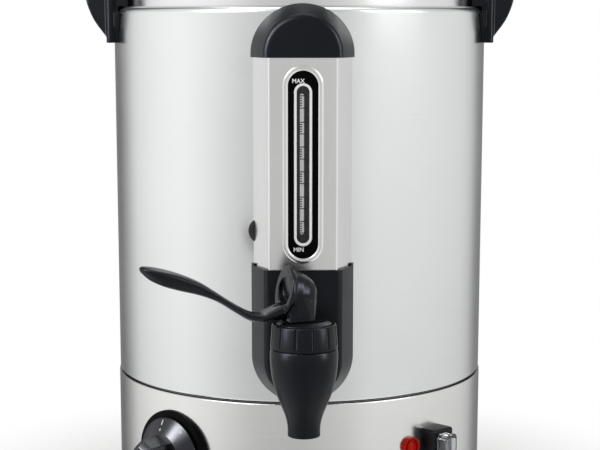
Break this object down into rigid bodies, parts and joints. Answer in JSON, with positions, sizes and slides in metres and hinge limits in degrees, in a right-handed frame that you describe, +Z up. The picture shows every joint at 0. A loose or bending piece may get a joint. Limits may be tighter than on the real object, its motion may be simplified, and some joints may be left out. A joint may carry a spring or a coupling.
{
  "type": "hot water urn",
  "caption": "Double-walled stainless hot water urn with lift-off lid, side handles, sight gauge, swivelling lever tap and a heated base with thermostat knob and switch.",
  "frame": {"origin": "on the body's axis at table level, at the middle of the circle of feet", "axes": "+Z up, the tap and gauge face -Y, the handles lie along X"},
  "size_m": [0.3036, 0.3621, 0.4115],
  "materials": {
    "body_steel": "satin stainless sheet, lightly brushed round the body",
    "cover_steel": "stainless sheet brushed up and down",
    "tank_steel": "bright drawn stainless sheet",
    "plate_steel": "zinc coated sheet",
    "fastener_steel": "zinc plated steel",
    "cast_aluminium": "as cast",
    "element_sheath": "heat-darkened steel sheath",
    "copper": "drawn copper tube",
    "plated_brass": "turned brass",
    "gloss_black": "polished black phenolic",
    "satin_black": "satin moulded black nylon",
    "matte_black": "matt moulded black nylon",
    "black_rubber": "matt rubber",
    "silicone": "soft food-grade silicone",
    "white_plastic": "glossy white moulding",
    "ivory_plastic": "moulded polyamide",
    "red_plastic": "moulded red polycarbonate",
    "red_lens": "faceted translucent red lens",
    "clear_vinyl": "soft clear vinyl",
    "clear_glass": "polished clear"
  },
  "bodies": {
    "urn": {"base_housing": "body_steel", "bottom_plate": "plate_steel", "feet": "black_rubber", "foot_screws": "fastener_steel", "base_screws": "fastener_steel", "hex_nuts": "fastener_steel", "outer_shell": "body_steel", "inner_tank": "tank_steel", "heater_plate": "cast_aluminium", "heating_element": "element_sheath", "thermostat_body": "plate_steel", "thermostat_capillary": "copper", "thermostat_screws": "fastener_steel", "knob_plate": "satin_black", "safety_cutout": "satin_black", "reset_bezel": "gloss_black", "terminal_block": "ivory_plastic", "cable_gland": "matte_black", "gland_nut": "matte_black", "pilot_lens": "red_lens", "pilot_lamp_body": "matte_black", "switch_housing": "gloss_black", "switch_cap": "clear_vinyl", "gauge_cover": "cover_steel", "gauge_cap": "satin_black", "tap_holder": "satin_black", "gauge_panel": "gloss_black", "window_ring": "white_plastic", "gauge_window": "clear_glass", "sight_tube": "clear_glass", "gauge_fittings": "plated_brass", "tube_seals": "silicone", "fitting_nuts": "plated_brass", "gauge_screws": "fastener_steel", "shell_grommet": "black_rubber", "tap_body": "satin_black", "tap_collar": "satin_black", "tap_spring": "fastener_steel", "tap_spacer": "matte_black", "tap_gasket": "silicone", "tap_nut": "plated_brass", "handle_left": "satin_black", "handle_right": "satin_black", "handle_screws": "fastener_steel"},
    "lid": {"lid": "tank_steel", "lid_knob": "gloss_black", "lid_knob_screw": "fastener_steel"},
    "thermostat_control": {"control_knob": "gloss_black", "knob_shaft": "fastener_steel"},
    "power_rocker": {"switch_rocker": "gloss_black"},
    "reset_plunger": {"reset_button": "red_plastic"},
    "tap_turret": {"swivel_plate": "satin_black"},
    "valve_stem": {"tap_stem": "fastener_steel", "tap_seal": "silicone"},
    "lever": {"tap_lever": "satin_black", "lever_pin": "fastener_steel"}
  },
  "joints": [
    {"name": "lid_lift", "type": "slide", "parent": "urn", "child": "lid", "axis": [0, 0, 1], "range_m": [0, 0.12]},
    {"name": "thermostat_turn", "type": "hinge", "parent": "urn", "child": "thermostat_control", "pos_m": [-0.08945, -0.10111, 0.054], "axis": [0.6626, 0.749, 0], "range_deg": [0, 270]},
    {"name": "switch_rock", "type": "hinge", "parent": "urn", "child": "power_rocker", "pos_m": [0.09167, -0.10181, 0.057], "axis": [-0.7431, -0.6691, 0], "range_deg": [0, 14]},
    {"name": "reset_press", "type": "slide", "parent": "urn", "child": "reset_plunger", "axis": [0.4695, -0.8829, 0], "range_m": [0, 0.002], "stiffness_N_per_m": 800},
    {"name": "tap_swivel", "type": "hinge", "parent": "urn", "child": "tap_turret", "pos_m": [0, -0.18, 0.161], "axis": [0, 0, 1], "range_deg": [-38, 182]},
    {"name": "stem_lift", "type": "slide", "parent": "tap_turret", "child": "valve_stem", "axis": [0, 0, 1], "range_m": [0, 0.00335], "stiffness_N_per_m": 600, "springref_m": -0.001, "deforming": ["tap_spring"]},
    {"name": "lever_press", "type": "hinge", "parent": "valve_stem", "child": "lever", "pos_m": [0, -0.18, 0.172], "axis": [0.309, -0.9511, 0], "range_deg": [0, 16]}
  ],
  "couplings": [
    {"joint": "lever_press", "follows": "stem_lift", "rad_per_m": 83.333}
  ]
}
